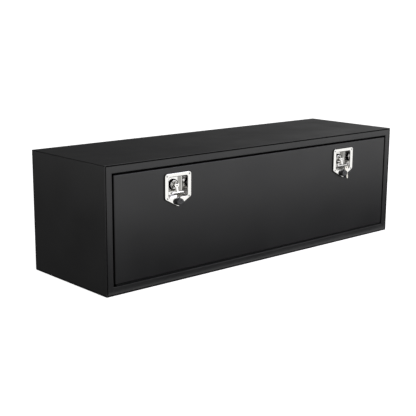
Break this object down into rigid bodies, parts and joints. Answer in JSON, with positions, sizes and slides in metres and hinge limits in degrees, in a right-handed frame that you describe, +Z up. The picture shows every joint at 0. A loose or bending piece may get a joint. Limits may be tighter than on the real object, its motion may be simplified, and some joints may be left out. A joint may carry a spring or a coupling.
{
  "type": "underbody truck tool box",
  "caption": "Long low steel tool box for mounting under a truck body, with a framed drop-down front door, recessed folding T-handle latches and capped cylinder locks.",
  "frame": {"origin": "centre of the flat bottom face", "axes": "+X along the box's length, to the right seen from the front; the door faces -Y; +Z up"},
  "size_m": [1.524, 0.4764, 0.4572],
  "materials": {
    "body_paint": "satin black powder coat",
    "hinge_steel": "satin black paint over steel",
    "stainless": "polished stainless steel",
    "zinc": "bright zinc plate",
    "rubber_black": "matt black rubber",
    "plug_brass": "turned brass",
    "key_nickel": "nickel plate"
  },
  "bodies": {
    "box": {"body_wrap": "body_paint", "end_panel_left": "body_paint", "end_panel_right": "body_paint", "front_frame": "body_paint", "door_seal": "rubber_black", "hinge_frame_leaf": "hinge_steel", "hinge_pin": "hinge_steel", "frame_stay_bracket_left": "zinc", "frame_stay_bracket_right": "zinc", "stay_stud_left": "zinc", "stay_stud_right": "zinc", "striker_left": "zinc", "striker_right": "zinc"},
    "door": {"door_skin": "body_paint", "door_stiffener_left": "body_paint", "door_stiffener_middle": "body_paint", "door_stiffener_right": "body_paint", "hinge_door_leaf": "hinge_steel", "door_stay_bracket_left": "zinc", "door_stay_bracket_right": "zinc", "stay_pivot_pin_left": "zinc", "stay_pivot_pin_right": "zinc", "latch_dish_left": "stainless", "latch_gasket_left": "rubber_black", "lock_barrel_left": "stainless", "lock_nut_left": "zinc", "latch_dish_right": "stainless", "latch_gasket_right": "rubber_black", "lock_barrel_right": "stainless", "lock_nut_right": "zinc"},
    "stay_left": {"stay_arm_left": "zinc"},
    "spindle_left": {"latch_spindle_left": "stainless", "latch_cross_pin_left": "stainless", "spindle_clip_left": "zinc", "latch_cam_left": "zinc", "cam_nut_left": "zinc"},
    "handle_left": {"t_handle_left": "stainless"},
    "plug_left": {"lock_plug_left": "plug_brass", "lock_pawl_left": "zinc"},
    "cap_left": {"dust_cap_left": "rubber_black"},
    "stay_right": {"stay_arm_right": "zinc"},
    "spindle_right": {"latch_spindle_right": "stainless", "latch_cross_pin_right": "stainless", "spindle_clip_right": "zinc", "latch_cam_right": "zinc", "cam_nut_right": "zinc"},
    "handle_right": {"t_handle_right": "stainless"},
    "plug_right": {"lock_plug_right": "plug_brass", "lock_pawl_right": "zinc"},
    "cap_right": {"dust_cap_right": "rubber_black"},
    "key_set": {"key_ring": "stainless", "key": "key_nickel"}
  },
  "joints": [
    {"name": "door_hinge", "type": "hinge", "parent": "box", "child": "door", "pos_m": [0, -0.2266, 0.035], "axis": [1, 0, 0], "range_deg": [0, 90]},
    {"name": "stay_pivot_left", "type": "hinge", "parent": "door", "child": "stay_left", "pos_m": [-0.7082, -0.2046, 0.225], "axis": [1, 0, 0], "range_deg": [-45, 0]},
    {"name": "latch_turn_left", "type": "hinge", "parent": "door", "child": "spindle_left", "pos_m": [-0.448, -0.234, 0.3527], "axis": [0, -1, 0], "range_deg": [0, 90]},
    {"name": "handle_fold_left", "type": "hinge", "parent": "spindle_left", "child": "handle_left", "pos_m": [-0.448, -0.22, 0.3527], "axis": [-1, 0, 0], "range_deg": [0, 90]},
    {"name": "lock_turn_left", "type": "hinge", "parent": "door", "child": "plug_left", "pos_m": [-0.448, -0.234, 0.293], "axis": [0, 1, 0], "range_deg": [0, 90]},
    {"name": "cap_flip_left", "type": "hinge", "parent": "door", "child": "cap_left", "pos_m": [-0.448, -0.2362, 0.3086], "axis": [-1, 0, 0], "range_deg": [0, 90]},
    {"name": "stay_pivot_right", "type": "hinge", "parent": "door", "child": "stay_right", "pos_m": [0.7082, -0.2046, 0.225], "axis": [1, 0, 0], "range_deg": [-45, 0]},
    {"name": "latch_turn_right", "type": "hinge", "parent": "door", "child": "spindle_right", "pos_m": [0.448, -0.234, 0.3527], "axis": [0, -1, 0], "range_deg": [0, 90]},
    {"name": "handle_fold_right", "type": "hinge", "parent": "spindle_right", "child": "handle_right", "pos_m": [0.448, -0.22, 0.3527], "axis": [-1, 0, 0], "range_deg": [0, 90]},
    {"name": "lock_turn_right", "type": "hinge", "parent": "door", "child": "plug_right", "pos_m": [0.448, -0.234, 0.293], "axis": [0, 1, 0], "range_deg": [0, 90]},
    {"name": "cap_flip_right", "type": "hinge", "parent": "door", "child": "cap_right", "pos_m": [0.448, -0.2362, 0.3086], "axis": [-1, 0, 0], "range_deg": [0, 90]},
    {"name": "key_swing", "type": "hinge", "parent": "handle_right", "child": "key_set", "pos_m": [0.4675, -0.2275, 0.3262], "axis": [-1, 0, 0], "range_deg": [0, 90]}
  ],
  "couplings": [
    {"joint": "stay_pivot_left", "follows": "door_hinge", "ratio": -0.5},
    {"joint": "stay_pivot_right", "follows": "door_hinge", "ratio": -0.5}
  ]
}
